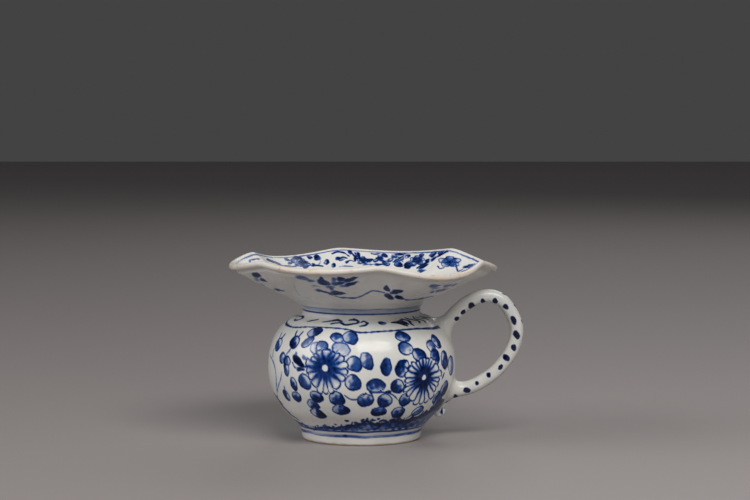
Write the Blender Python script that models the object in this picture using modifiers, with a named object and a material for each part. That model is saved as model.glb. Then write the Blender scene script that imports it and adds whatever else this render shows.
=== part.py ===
"""Blue-and-white porcelain pot with a six-lobed funnel mouth and one loop handle.

The pot is put together from its clay pieces: a foot ring, a turned globular body, a funnel mouth
pressed into six lobes, a rolled handle with a curled tail, and the slip that lutes them. Pieces
that touch keep a gap of 0.3 mm. Dimensions are in millimetres, and mm() turns them into metres.
+Z is up, the handle points along +X, and the origin is under the middle of the whole pot's box.
"""

import math

import bmesh
import bpy
from mathutils import Vector

# Driving dimensions, in millimetres.
MOUTH_RADIUS = 61.0  # of the lip's centre line, before the lobes are pressed
MOUTH_HEIGHT = 83.0  # of the same line
HANDLE_REACH = 75.7  # from the pot's axis to the outside of the handle
WALL = 3.1
FLOOR = 4.4
GAP = 0.3
SEAM = 0.6  # thickness of a layer of luting slip

# Foot ring.
FOOT_RADIUS = 27.8
FOOT_TOP_RADIUS = 28.4
FOOT_HEIGHT = 4.6
FOOT_WIDTH = 5.0
FOOT_ROUNDING = 0.9

# Body: its outside from the top of the neck down to its base, as radius and height.
BODY_BASE = FOOT_HEIGHT + SEAM + 2 * GAP
NECK_TOP = 61.2
NECK_RADIUS = 27.5
BODY_OUTSIDE = [
    (NECK_RADIUS, NECK_TOP),
    (28.3, 58.4),
    (33.6, 56.2),
    (39.2, 50.9),
    (42.9, 43.0),
    (43.9, 33.5),
    (42.4, 24.6),
    (38.0, 15.6),
    (32.6, 9.9),
    (28.6, BODY_BASE),
]

# Mouth: the underside of the funnel before its lobes are pressed, from the lip to the neck.
MOUTH_BASE = NECK_TOP + SEAM + 2 * GAP
LIP_THICKNESS = 2.7
LOBES_FROM = 33.0  # radius where the pressed lobes begin
CUSP_SOFTNESS = 0.2
MOUTH_UNDERSIDE = [
    (58.4, 79.9),
    (50.0, 74.9),
    (41.0, 70.0),
    (34.6, 66.8),
    (29.7, 64.1),
    (NECK_RADIUS, MOUTH_BASE),
]

# The rim is pressed by hand into six lobes, so no two are quite alike. Each cusp between two
# lobes has its angle from the handle in degrees, and the radius and height of the lip there.
CUSPS = [
    (42.0, 58.5, 84.7),
    (101.0, 58.2, 83.6),
    (154.0, 58.3, 83.9),
    (219.5, 58.4, 84.7),
    (278.0, 58.4, 84.3),
    (339.0, 59.2, 83.7),
]
# The radius and height of the lip at the middle of each lobe, which follows the cusp above.
LOBES = [
    (61.8, 81.9),
    (61.8, 80.3),
    (60.6, 81.2),
    (61.6, 82.9),
    (61.8, 79.6),
    (62.7, 79.2),
]

# Handle: its centre line from the shoulder round to the belly, as reach, height and thickness.
# Both ends run on into the body's wall, and are cut off at its surface.
HANDLE_THICKNESS = 6.4
HANDLE_BREADTH = 1.14  # breadth of the section as a share of its thickness
HANDLE_LINE = [
    (36.4, 49.4, 9.4),
    (41.5, 56.0, 7.8),
    (48.9, 63.1, 6.7),
    (58.0, 66.8, 6.4),
    (66.6, 63.8, 6.4),
    (HANDLE_REACH - HANDLE_THICKNESS / 2, 52.6, 6.4),
    (70.2, 41.6, 6.4),
    (62.2, 31.4, 6.4),
    (53.0, 24.9, 6.8),
    (44.8, 22.5, 7.8),
    (37.4, 22.1, 9.6),
]

# Slip pads at the handle's two joints: place, tilt of their short axis, and half sizes.
UPPER_PAD = {"reach": 39.2, "height": 52.0, "tilt": 41.0, "half_sizes": (2.3, 6.9, 6.9)}
LOWER_PAD = {"reach": 41.5, "height": 22.3, "tilt": -22.0, "half_sizes": (2.3, 6.9, 6.9)}

# Curled tail below the lower joint: its centre line, as reach and height.
TAIL_THICKNESS = 1.9
TAIL_BREADTH = 1.8
TAIL_LINE = [
    (41.4, 18.6),
    (38.6, 15.7),
    (36.1, 12.9),
    (35.2, 11.2),
    (36.5, 10.4),
    (38.2, 11.6),
    (38.7, 13.6),
]

TURN_STEPS = 48
LOBED_TURN_STEPS = 72

# The pot's axis lies off the origin, because the handle widens the whole pot on one side.
LEFT_REACH = LOBES[2][0] + LIP_THICKNESS / 2
AXIS_X = -(HANDLE_REACH - LEFT_REACH) / 2


def mm(value):
    return value * 0.001


def smooth_line(points, steps):
    """A Catmull-Rom line through the points, with this many steps from each to the next."""
    ends = [Vector(point) for point in points]
    ends = [2 * ends[0] - ends[1], *ends, 2 * ends[-1] - ends[-2]]
    line = []
    for before, start, end, after in zip(ends, ends[1:], ends[2:], ends[3:]):
        for step in range(steps):
            t = step / steps
            line.append(
                (
                    2 * start
                    + (end - before) * t
                    + (2 * before - 5 * start + 4 * end - after) * t**2
                    + (3 * start - before - 3 * end + after) * t**3
                )
                / 2
            )
    line.append(ends[-2])
    return line


def moved_sideways(line, distance):
    """The line moved by this distance to the left of the way it runs."""
    moved = []
    for index, point in enumerate(line):
        before = line[max(index - 1, 0)]
        after = line[min(index + 1, len(line) - 1)]
        along = (after - before).normalized()
        moved.append(point + distance * Vector((-along.y, along.x)))
    return moved


def arc(centre, radius, start, end, steps):
    """Points on an arc, from one angle to another in degrees."""
    points = []
    for step in range(steps + 1):
        angle = math.radians(start + (end - start) * step / steps)
        points.append(Vector(centre) + radius * Vector((math.cos(angle), math.sin(angle))))
    return points


def collection(name):
    made = bpy.data.collections.new(name)
    bpy.context.scene.collection.children.link(made)
    return made


def glaze(name, colour, roughness):
    material = bpy.data.materials.new(name)
    material.use_nodes = True
    shader = material.node_tree.nodes["Principled BSDF"]
    shader.inputs["Base Color"].default_value = (*colour, 1.0)
    shader.inputs["Roughness"].default_value = roughness
    shader.inputs["Metallic"].default_value = 0.0
    return material


def turned(name, profile, closed, steps, into):
    """A turned piece: its profile of radius and height, swept round the axis by a Screw."""
    mesh = bpy.data.meshes.new(name)
    shape = bmesh.new()
    corners = [shape.verts.new((mm(radius), 0.0, mm(height))) for radius, height in profile]
    for first, second in zip(corners, corners[1:]):
        shape.edges.new((first, second))
    if closed:
        shape.edges.new((corners[-1], corners[0]))
    shape.to_mesh(mesh)
    shape.free()
    piece = bpy.data.objects.new(name, mesh)
    into.objects.link(piece)
    screw = piece.modifiers.new("turn", "SCREW")
    screw.steps = steps
    screw.render_steps = steps
    screw.use_merge_vertices = True
    screw.merge_threshold = 0.00001
    screw.use_smooth_shade = True
    return piece


def made_mesh(piece):
    """The piece as a plain mesh object, with its modifiers or its curve turned into faces."""
    bpy.context.view_layer.update()
    graph = bpy.context.evaluated_depsgraph_get()
    mesh = bpy.data.meshes.new_from_object(piece.evaluated_get(graph))
    name = piece.name
    matrix = piece.matrix_world.copy()
    owner = piece.users_collection[0]
    bpy.data.objects.remove(piece)
    shape = bmesh.new()
    shape.from_mesh(mesh)
    bmesh.ops.remove_doubles(shape, verts=shape.verts, dist=0.000001)
    bmesh.ops.recalc_face_normals(shape, faces=shape.faces)
    shape.to_mesh(mesh)
    shape.free()
    made = bpy.data.objects.new(name, mesh)
    made.matrix_world = matrix
    owner.objects.link(made)
    return made


def rod(name, line, spare, breadth, into):
    """A bent rod through points of reach, height and thickness, made thicker by spare."""
    curve = bpy.data.curves.new(name, "CURVE")
    curve.dimensions = "3D"
    curve.bevel_depth = mm(1.0)
    curve.bevel_resolution = 3
    curve.use_fill_caps = True
    curve.resolution_u = 4
    spline = curve.splines.new("BEZIER")
    spline.bezier_points.add(len(line) - 1)
    for point, (reach, height, thickness) in zip(spline.bezier_points, line):
        point.co = (mm(reach), 0.0, mm(height))
        point.handle_left_type = "AUTO"
        point.handle_right_type = "AUTO"
        point.radius = thickness / 2 + spare
    piece = bpy.data.objects.new(name, curve)
    into.objects.link(piece)
    piece = made_mesh(piece)
    for vertex in piece.data.vertices:
        vertex.co.y *= breadth
    return piece


def cut(piece, cutter):
    """Takes the cutter's shape away from the piece."""
    cutter.hide_render = True
    cutter.display_type = "WIRE"
    boolean = piece.modifiers.new("clear of " + cutter.name, "BOOLEAN")
    boolean.operation = "DIFFERENCE"
    boolean.solver = "EXACT"
    boolean.object = cutter


def foot_ring(into):
    outer = FOOT_RADIUS - FOOT_ROUNDING
    inner = FOOT_RADIUS - FOOT_WIDTH + FOOT_ROUNDING
    profile = [Vector((FOOT_TOP_RADIUS, FOOT_HEIGHT))]
    profile += arc((outer, FOOT_ROUNDING), FOOT_ROUNDING, 0, -90, 3)
    profile += arc((inner, FOOT_ROUNDING), FOOT_ROUNDING, -90, -180, 3)
    profile += [Vector((FOOT_TOP_RADIUS - FOOT_WIDTH - 0.6, FOOT_HEIGHT))]
    return turned("foot_ring", profile, True, TURN_STEPS, into)


def foot_seam(into):
    low = FOOT_HEIGHT + GAP
    profile = [
        Vector((FOOT_TOP_RADIUS - 0.3, low + SEAM)),
        Vector((FOOT_TOP_RADIUS + 0.1, low + SEAM / 2)),
        Vector((FOOT_TOP_RADIUS - 0.3, low)),
        Vector((FOOT_TOP_RADIUS - FOOT_WIDTH, low)),
        Vector((FOOT_TOP_RADIUS - FOOT_WIDTH, low + SEAM)),
    ]
    return turned("foot_slip_seam", profile, True, TURN_STEPS, into)


def body(into):
    outside = smooth_line(BODY_OUTSIDE, 2)
    inside = moved_sideways(outside, -WALL)
    inner_floor = BODY_BASE + FLOOR
    inside = [point for point in inside if point.y > inner_floor + 1.5]
    inside[0] = Vector((NECK_RADIUS - WALL, NECK_TOP))
    profile = [Vector((0.0, inner_floor)), Vector((inside[-1].x - 4.0, inner_floor + 0.3))]
    profile += reversed(inside)
    profile += outside
    profile += [Vector((0.0, BODY_BASE))]
    return turned("body", profile, False, TURN_STEPS, into)


def neck_seam(into):
    low = NECK_TOP + GAP
    profile = [
        Vector((NECK_RADIUS, low + SEAM)),
        Vector((NECK_RADIUS + 0.4, low + SEAM / 2)),
        Vector((NECK_RADIUS, low)),
        Vector((NECK_RADIUS - WALL + 0.2, low)),
        Vector((NECK_RADIUS - WALL + 0.2, low + SEAM)),
    ]
    return turned("neck_slip_seam", profile, True, TURN_STEPS, into)


def lobe_bulge(share):
    """0 at a cusp and 1 at the middle of a lobe, for a share of the way from cusp to cusp."""
    wave = math.sin(math.pi * share)
    soft = CUSP_SOFTNESS
    return (math.hypot(wave, soft) - soft) / (math.hypot(1.0, soft) - soft)


def rim_at(angle):
    """Radius and height of the lip's centre line at an angle from the handle in degrees."""
    after = next((i for i, cusp in enumerate(CUSPS) if cusp[0] > angle % 360), 0)
    start, start_radius, start_height = CUSPS[after - 1]
    end, end_radius, end_height = CUSPS[after]
    lobe_radius, lobe_height = LOBES[after - 1]
    share = (angle - start) % 360 / ((end - start) % 360)
    bulge = lobe_bulge(share)
    radius = start_radius + (end_radius - start_radius) * share
    height = start_height + (end_height - start_height) * share
    radius += (lobe_radius - (start_radius + end_radius) / 2) * bulge
    height += (lobe_height - (start_height + end_height) / 2) * bulge
    return radius, height


def press_lobes(mesh):
    """Presses the round funnel into lobes: its lip is moved the most, and its neck stays round."""
    for vertex in mesh.vertices:
        radius = math.hypot(vertex.co.x, vertex.co.y) * 1000
        angle = math.degrees(math.atan2(vertex.co.y, vertex.co.x))
        share = (radius - LOBES_FROM) / (MOUTH_RADIUS - LOBES_FROM)
        share = min(max(share, 0.0), 1.0) ** 1.6
        rim_radius, rim_height = rim_at(angle)
        scale = 1 + (rim_radius - MOUTH_RADIUS) * share / max(radius, LOBES_FROM)
        vertex.co.x *= scale
        vertex.co.y *= scale
        vertex.co.z += mm(rim_height - MOUTH_HEIGHT) * share


def mouth_flange(into):
    underside = smooth_line(MOUTH_UNDERSIDE, 2)
    inside = moved_sideways(underside, -LIP_THICKNESS)
    inside[-1] = Vector((NECK_RADIUS - WALL, MOUTH_BASE))
    lip = arc((MOUTH_RADIUS, MOUTH_HEIGHT), LIP_THICKNESS / 2, 115, -55, 5)
    profile = lip + underside + list(reversed(inside))
    piece = made_mesh(turned("mouth_flange", profile, True, LOBED_TURN_STEPS, into))
    press_lobes(piece.data)
    return piece


def slip_pad(name, pad, cutters, into):
    """The fillet of slip round one end of the handle, before the pieces it meets are cut away."""
    mesh = bpy.data.meshes.new(name)
    shape = bmesh.new()
    bmesh.ops.create_uvsphere(shape, u_segments=20, v_segments=12, radius=1.0)
    bmesh.ops.scale(shape, vec=[mm(size) for size in pad["half_sizes"]], verts=shape.verts)
    shape.to_mesh(mesh)
    shape.free()
    piece = bpy.data.objects.new(name, mesh)
    piece.location = (mm(pad["reach"]), 0.0, mm(pad["height"]))
    piece.rotation_euler = (0.0, math.radians(-pad["tilt"]), 0.0)
    into.objects.link(piece)
    for cutter in cutters:
        cut(piece, cutter)
    return piece


def body_cutter(into):
    """The body's outside as a solid, bigger by the gap."""
    outside = moved_sideways(smooth_line(BODY_OUTSIDE, 2), GAP)
    profile = [Vector((0.0, NECK_TOP)), *outside, Vector((0.0, BODY_BASE - GAP))]
    return turned("body_clearance", profile, False, TURN_STEPS, into)


def finished(piece, axis, material):
    """Parents the piece to the pot's axis and gives it its material and smooth shading."""
    piece.parent = axis
    piece.data.materials.clear()
    piece.data.materials.append(material)
    piece.data.shade_smooth()
    piece.data.set_sharp_from_angle(angle=math.radians(40.0))


def build():
    for leftover in list(bpy.data.objects):
        bpy.data.objects.remove(leftover)
    parts = collection("porcelain_pot")
    cutters = collection("cutters")
    axis = bpy.data.objects.new("pot_axis", None)
    axis.location = (mm(AXIS_X), 0.0, 0.0)
    parts.objects.link(axis)

    white = (0.66, 0.67, 0.64)
    buff = (0.62, 0.56, 0.47)
    handle_end = body_cutter(cutters)
    handle_sleeve = rod("handle_clearance", HANDLE_LINE, GAP, HANDLE_BREADTH, cutters)
    handle = rod("handle", HANDLE_LINE, 0.0, HANDLE_BREADTH, parts)
    cut(handle, handle_end)
    upper = slip_pad("upper_handle_slip", UPPER_PAD, [handle_end, handle_sleeve], parts)
    lower = slip_pad("lower_handle_slip", LOWER_PAD, [handle_end, handle_sleeve], parts)
    tail_line = [(reach, height, TAIL_THICKNESS) for reach, height in TAIL_LINE]
    tail = rod("handle_tail_curl", tail_line, 0.0, TAIL_BREADTH, parts)
    wide_pad = dict(LOWER_PAD, half_sizes=[size + GAP for size in LOWER_PAD["half_sizes"]])
    pad_clearance = slip_pad("lower_slip_clearance", wide_pad, [], cutters)
    for cutter in (handle_end, pad_clearance):
        cut(tail, cutter)

    finished(foot_ring(parts), axis, glaze("foot_ring_glaze", buff, 0.35))
    finished(foot_seam(parts), axis, glaze("foot_slip_glaze", white, 0.18))
    finished(body(parts), axis, glaze("body_glaze", white, 0.1))
    finished(neck_seam(parts), axis, glaze("neck_slip_glaze", white, 0.18))
    finished(mouth_flange(parts), axis, glaze("mouth_glaze", white, 0.1))
    finished(handle, axis, glaze("handle_glaze", white, 0.12))
    finished(tail, axis, glaze("tail_glaze", white, 0.12))
    finished(upper, axis, glaze("upper_slip_glaze", white, 0.15))
    finished(lower, axis, glaze("lower_slip_glaze", white, 0.15))
    for cutter in (handle_end, handle_sleeve, pad_clearance):
        cutter.parent = axis


build()
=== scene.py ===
"""The looks of the blue-and-white porcelain pot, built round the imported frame.

Each piece is a fine grid of points swept round the pot's axis or along the handle. The cobalt
painting is laid on those points stroke by stroke, in millimetres and degrees, and the glaze
materials turn it into colour. A turn is an angle round the pot's axis, from 0 at the front, over
90 at the handle, to 180 at the back.
"""

import math

import bpy
import numpy as np
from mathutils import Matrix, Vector


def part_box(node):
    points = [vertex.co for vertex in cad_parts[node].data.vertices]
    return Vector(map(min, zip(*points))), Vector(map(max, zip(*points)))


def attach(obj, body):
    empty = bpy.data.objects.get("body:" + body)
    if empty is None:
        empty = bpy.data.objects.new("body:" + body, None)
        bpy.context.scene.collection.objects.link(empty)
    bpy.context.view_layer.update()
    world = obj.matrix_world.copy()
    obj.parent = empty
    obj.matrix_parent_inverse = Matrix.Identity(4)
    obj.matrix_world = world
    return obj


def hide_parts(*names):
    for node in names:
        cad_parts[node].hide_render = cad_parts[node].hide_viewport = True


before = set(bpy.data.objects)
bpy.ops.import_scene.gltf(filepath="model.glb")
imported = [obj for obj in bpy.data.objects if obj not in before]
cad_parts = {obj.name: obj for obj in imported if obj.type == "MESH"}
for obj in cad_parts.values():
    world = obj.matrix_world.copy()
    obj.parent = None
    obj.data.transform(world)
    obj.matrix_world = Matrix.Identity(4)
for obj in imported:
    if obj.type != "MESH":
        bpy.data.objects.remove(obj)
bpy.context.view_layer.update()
low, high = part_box("body")
AXIS_X = (low.x + high.x) / 2  # the pot's axis, in metres

# Sizes that the frame was built to, in millimetres.
MOUTH_RADIUS = 61.0
MOUTH_HEIGHT = 83.0
WALL = 3.1
LIP_THICKNESS = 2.7
NECK_RADIUS = 27.5
NECK_JOIN = 61.8  # height at which the body's surface passes into the mouth's
FOOT_JOIN = 5.6  # height at which the body's surface passes into the foot's
INNER_FLOOR = 10.2
LOBES_FROM = 33.0
CUSP_SOFTNESS = 0.2
BODY_OUTSIDE = [
    (NECK_RADIUS, 61.2),
    (28.3, 58.4),
    (33.6, 56.2),
    (39.2, 50.9),
    (42.9, 43.0),
    (43.9, 33.5),
    (42.4, 24.6),
    (38.0, 15.6),
    (32.6, 9.9),
    (28.7, FOOT_JOIN),
]
MOUTH_UNDERSIDE = [
    (58.4, 79.9),
    (50.0, 74.9),
    (41.0, 70.0),
    (34.6, 66.8),
    (29.7, 64.1),
    (NECK_RADIUS, NECK_JOIN),
]
FOOT_PROFILE = [
    (28.7, FOOT_JOIN),
    (28.35, 4.6),
    (28.0, 2.0),
    (27.7, 0.8),
    (26.9, 0.05),
    (25.4, 0.0),
    (23.9, 0.05),
    (23.0, 0.9),
    (22.7, 3.0),
    (22.2, 5.2),
    (20.5, 5.75),
    (10.0, 5.75),
    (0.5, 5.75),
]
LIP_CREASE = (59.7, 82.3)  # where the rolled lip meets the funnel's underside
# Angle of each cusp of the rim, counted from the handle, with the lip's radius and height there.
CUSPS = [
    (42.0, 58.5, 84.7),
    (101.0, 58.2, 83.6),
    (154.0, 58.3, 83.9),
    (219.5, 58.4, 84.7),
    (278.0, 58.4, 84.3),
    (339.0, 59.2, 83.7),
]
# Radius and height of the lip at the middle of the lobe after each cusp.
LOBES = [
    (61.8, 81.9),
    (61.8, 80.3),
    (60.6, 81.2),
    (61.6, 82.9),
    (61.8, 79.6),
    (62.7, 79.2),
]
# Centre line of the handle, as reach, height and thickness.
HANDLE_LINE = [
    (36.4, 49.4, 7.6),
    (41.5, 56.0, 6.9),
    (48.9, 63.1, 6.5),
    (58.0, 66.8, 6.4),
    (66.6, 63.8, 6.4),
    (72.5, 52.6, 6.4),
    (70.4, 41.4, 6.4),
    (62.7, 31.2, 6.4),
    (53.4, 24.9, 6.5),
    (44.8, 22.5, 6.8),
    (37.4, 22.1, 7.4),
]
HANDLE_BREADTH = 1.14
HANDLE_FILLET = 5.0  # reach of the slip smoothed round the handle's two joints
SKIRT_DEPTH = 1.5  # depth inside the wall down to which the slip goes on spreading
SKIRT_SLOPE = 1.5
TAIL_LINE = [
    (41.4, 18.6, 2.2),
    (38.6, 15.7, 2.4),
    (36.2, 13.0, 2.6),
    (35.3, 11.5, 2.5),
    (36.5, 10.8, 2.2),
    (38.0, 11.7, 2.0),
    (38.5, 13.6, 1.6),
]
TAIL_BREADTH = 1.8

PAINTED_FROM = 43.0  # radius from which the funnel's inside is painted
PAINTED_STEP = 0.42  # spacing of the rows there
VIEW_HEIGHT = 4.4  # degrees above level from which the mouth's painting was laid out
TO_METRES = 0.001


# ---------------------------------------------------------------- lines and waves


def smooth_line(points, steps):
    """A Catmull-Rom line through the points, with this many steps from each to the next."""
    ends = np.asarray(points, float)
    ends = np.vstack([2 * ends[0] - ends[1], ends, 2 * ends[-1] - ends[-2]])
    line = []
    for before, start, end, after in zip(ends, ends[1:], ends[2:], ends[3:]):
        for step in range(steps):
            t = step / steps
            line.append(
                (
                    2 * start
                    + (end - before) * t
                    + (2 * before - 5 * start + 4 * end - after) * t**2
                    + (3 * start - before - 3 * end + after) * t**3
                )
                / 2
            )
    line.append(ends[-2])
    return np.array(line)


def resampled(line, spacing):
    """The line again, as points about this far apart along it."""
    steps = np.linalg.norm(np.diff(line[:, :2], axis=0), axis=1)
    along = np.concatenate([[0.0], np.cumsum(steps)])
    count = max(3, int(round(along[-1] / spacing)) + 1)
    wanted = np.linspace(0.0, along[-1], count)
    return np.stack([np.interp(wanted, along, axis) for axis in line.T], axis=1)


def unit(vectors):
    return vectors / np.linalg.norm(vectors, axis=1)[:, None]


def leftward(line):
    """At each point, the direction to the left of the way the line runs."""
    along = unit(np.gradient(line, axis=0))
    return np.stack([-along[:, 1], along[:, 0]], axis=1)


def arc(centre, radius, start, end, steps):
    angles = np.radians(np.linspace(start, end, steps + 1))
    return np.array(centre) + radius * np.stack([np.cos(angles), np.sin(angles)], axis=1)


def smoothstep(value, low, high):
    t = np.clip((value - low) / (high - low), 0.0, 1.0)
    return t * t * (3 - 2 * t)


def faded(depth, width):
    """How much an edge covers: from 0 outside it to 1 at a depth inside it, over this width."""
    return np.clip(0.5 + depth / width, 0, 1)


def along_tilt(u, v, tilt):
    """Distances along a direction tilted by this many degrees, and to the left of it."""
    turn = math.radians(tilt)
    return u * math.cos(turn) + v * math.sin(turn), v * math.cos(turn) - u * math.sin(turn)


def ripple(points, wavelength, seed):
    """A smooth random wave over the points, about from -1 to 1, with this wavelength in mm."""
    rng = np.random.default_rng(seed)
    wave = np.zeros(len(points))
    for _ in range(7):
        direction = rng.normal(size=3)
        direction *= 2 * math.pi / (wavelength * np.linalg.norm(direction))
        direction *= rng.uniform(0.7, 1.5)
        wave += np.sin(points @ direction + rng.uniform(0, 2 * math.pi))
    return wave / 2.6


# ---------------------------------------------------------------- surfaces


class Surface:
    """A grid of points in mm from the pot's axis: rows along a profile, columns round it."""

    def __init__(self, points, turns):
        self.points = points
        self.turns = turns
        down = np.gradient(points, axis=0)
        ring = np.concatenate([points[:, -1:], points, points[:, :1]], axis=1)
        across = ring[:, 2:] - ring[:, :-2]
        normals = np.cross(down, across)
        lengths = np.linalg.norm(normals, axis=2, keepdims=True)
        self.normals = normals / np.maximum(lengths, 1e-9)

    def place(self, turn, row):
        """The point at a turn and a row, with its directions to the right, up and outwards."""
        count = len(self.turns)
        column = np.interp(turn % 360, np.append(self.turns, 360.0), np.arange(count + 1))
        top = int(min(max(row, 0), len(self.points) - 2))
        left = int(column) % count
        right = (left + 1) % count
        down = min(max(row - top, 0.0), 1.0)
        over = column - int(column)
        upper = self.points[top, left] * (1 - over) + self.points[top, right] * over
        lower = self.points[top + 1, left] * (1 - over) + self.points[top + 1, right] * over
        point = upper * (1 - down) + lower * down
        normal = self.normals[top, left]
        up = np.array([0.0, 0.0, 1.0]) - normal[2] * normal
        up /= max(np.linalg.norm(up), 1e-6)
        return point, np.cross(up, normal), up, normal

    def row_at_height(self, height):
        heights = self.points[:, 0, 2]
        return np.interp(-height, -heights, np.arange(len(heights)))

    def row_at_radius(self, turn, radius, first, last):
        """The row between two rows where this column of points has this radius."""
        column = int(np.searchsorted(self.turns, turn % 360)) % len(self.turns)
        rows = np.arange(first, last)
        radii = np.hypot(self.points[rows, column, 0], self.points[rows, column, 1])
        if radii[0] > radii[-1]:
            return np.interp(-radius, -radii, rows)
        return np.interp(radius, radii, rows)


def turns_with(front_step, back_step, front_half):
    """Turns round the pot, closer together within front_half degrees of the front."""
    front = np.arange(0.0, front_half, front_step)
    back = np.arange(front_half, 360.0 - front_half, back_step)
    return np.concatenate([front, back, np.arange(360.0 - front_half, 360.0, front_step)])


def turned(profile, turns):
    """A profile of radius and height swept round the axis, with its outer side on the left."""
    angle = np.radians(turns)
    radius = profile[:, :1]
    points = np.stack(
        [
            radius * np.sin(angle),
            -radius * np.cos(angle),
            np.repeat(profile[:, 1:2], len(turns), axis=1),
        ],
        axis=2,
    )
    return Surface(points, turns)


def mesh_object(name, surface, attributes, caps):
    """The surface as a mesh object in metres, with its float attributes on its points."""
    rows, columns = surface.points.shape[:2]
    index = np.arange(rows * columns).reshape(rows, columns)
    right = np.roll(index, -1, axis=1)
    quads = np.stack([index[:-1], index[1:], right[1:], right[:-1]], axis=2).reshape(-1, 4)
    points = surface.points.reshape(-1, 3) * TO_METRES + [AXIS_X, 0.0, 0.0]
    faces = [tuple(quad) for quad in quads.tolist()]
    if "first" in caps:
        faces.append(tuple(index[0].tolist()))
    if "last" in caps:
        faces.append(tuple(index[-1, ::-1].tolist()))
    mesh = bpy.data.meshes.new(name)
    mesh.from_pydata(points.tolist(), [], faces)
    mesh.shade_smooth()
    for key, values in attributes.items():
        layer = mesh.attributes.new(key, "FLOAT", "POINT")
        layer.data.foreach_set("value", values.astype(np.float32).ravel())
    made = bpy.data.objects.new(name, mesh)
    bpy.context.scene.collection.objects.link(made)
    return made


# ---------------------------------------------------------------- painting


class Painting:
    """The cobalt on a surface: how much the brush left at each point, from 0 to 1."""

    def __init__(self, surface, seed, edge=0.5):
        self.edge = edge  # width over which a stroke's edge fades out
        self.points = surface.points.reshape(-1, 3)
        self.normals = surface.normals.reshape(-1, 3)
        self.cobalt = np.zeros(len(self.points))
        self.shake_u = 0.16 * ripple(self.points, 4.5, seed) + 0.07 * ripple(
            self.points, 1.8, seed + 1
        )
        self.shake_v = 0.16 * ripple(self.points, 4.5, seed + 2)
        self.flow = ripple(self.points, 3.0, seed + 3)

    def near(self, place, reach):
        """The points round a place, with their distances to the right of it and above it."""
        centre, right, up, normal = place
        offset = self.points - centre
        close = (np.abs(offset).max(axis=1) < 3 * reach) & (self.normals @ normal > 0.1)
        index = np.flatnonzero(close)
        offset = offset[index]
        return index, offset @ right + self.shake_u[index], offset @ up + self.shake_v[index]

    def deepen(self, amount, index=slice(None)):
        """Cobalt over what is there, where the darker of the two shows."""
        self.cobalt[index] = np.maximum(self.cobalt[index], amount)

    def cover(self, index, inside, amount):
        """Cobalt in a shape that hides what is there."""
        self.cobalt[index] *= 1 - inside
        self.deepen(amount, index)

    def leaf(self, place, length, width, tilt, light, dark, pale, edge, rim):
        """A rounded leaf: a wash that fades towards its light side, inside a brushed outline.

        length and width are half sizes, and tilt and light are directions in degrees.
        """
        index, u, v = self.near(place, 1.3 * max(length, width) + 1)
        a, b = along_tilt(u, v, tilt)
        b = b * (1 + 0.1 * a / length)
        scaled = np.sqrt((a / length) ** 2 + (b / width) ** 2) + 1e-6
        slope = np.sqrt((a / length**2) ** 2 + (b / width**2) ** 2) + 1e-6
        outside = scaled * (scaled - 1) / slope  # about the distance in mm past the outline
        towards = along_tilt(u, v, light)[0] / (0.5 * (length + width))
        towards = towards + 0.18 * self.flow[index]
        wash = dark + (pale - dark) * smoothstep(towards, -0.15, 0.62)
        wash = wash * (1 + 0.12 * smoothstep(towards, -0.2, -0.9))
        thickness = edge * (0.45 + 0.55 * smoothstep(towards, 0.9, -0.6))
        line = faded(thickness / 2 - np.abs(outside + thickness / 2), self.edge)
        inside = faded(-outside, self.edge)
        self.cover(index, inside, np.maximum(wash * inside, rim * line))

    def flower(self, place, petals, reach, core, eye, wedge, depth, seed):
        """A daisy: a dark core with a white eye, and thin outlined petals round it.

        reach gives the length of the petals to the right, up, left and down, wedge says how much
        wider the lines between them are next to the core, and depth is the tone of the core.
        """
        index, u, v = self.near(place, 1.2 * max(reach) + 1)
        rng = np.random.default_rng(seed)
        distance = np.hypot(u, v)
        angle = np.arctan2(v, u)
        right, up, left, down = reach
        across = np.where(u > 0, right, left)
        along = np.where(v > 0, up, down)
        outer = 1 / np.sqrt((np.cos(angle) / across) ** 2 + (np.sin(angle) / along) ** 2)
        wander = 0.22 * np.sin(3 * angle + rng.uniform(0, 6)) + 0.16 * np.sin(5 * angle + 1.3)
        place_in = (angle / (2 * math.pi) * petals + wander) % petals
        number = np.floor(place_in).astype(int) % petals
        share = np.abs(place_in % 1 - 0.5) * 2
        lengths = rng.uniform(0.9, 1.07, petals)[number]
        blunt = np.sqrt(np.clip(1 - share**2.4, 0, 1))
        tip = outer * lengths * (0.83 + 0.17 * blunt)
        half_petal = distance * math.pi / petals
        to_side = half_petal * (1 - share)
        to_tip = tip - distance
        thin = 0.32 + 0.1 * self.flow[index] + wedge * np.clip(1.7 - distance / core * 0.75, 0, 1)
        sides = faded(thin / 2 - to_side, self.edge)
        ends = faded(thin / 2 + 0.08 - np.abs(to_tip - 0.25), self.edge)
        inside = faded(to_tip, self.edge)
        value = np.maximum(sides * inside, ends) * 1.05
        spikes = rng.uniform(0.8, 1.12, petals)[number] * (0.76 + 0.5 * share**1.5)
        spread = core * spikes - distance
        deep = depth - 0.18 * smoothstep(distance / core, 0.4, 1.1) + 0.08 * self.flow[index]
        value = np.maximum(value, deep * smoothstep(spread, -0.24 * core, 0.24 * core))
        fringe = 0.26 * faded(spread + 1.6, 3.0) * inside
        value = np.maximum(value, fringe) * faded(distance - eye, 0.35)
        self.cover(index, inside, value)

    def ring(self, heights, middle, half, tone):
        """A line of this half width all the way round at one height."""
        self.deepen(tone * faded(half - np.abs(heights - middle), self.edge))

    def blot(self, place, length, width, tilt, tone, drawn=0.35):
        """One touch of a loaded brush: a small solid spot with a more or less drawn-out end."""
        index, u, v = self.near(place, 1.4 * max(length, width) + 1)
        a, b = along_tilt(u, v, tilt)
        b = b * (1 + drawn * a / length)
        scaled = np.sqrt((a / length) ** 2 + (b / width) ** 2) + 1e-6
        outside = (scaled - 1) * min(length, width)
        self.deepen(tone * faded(-outside, self.edge), index)

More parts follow.
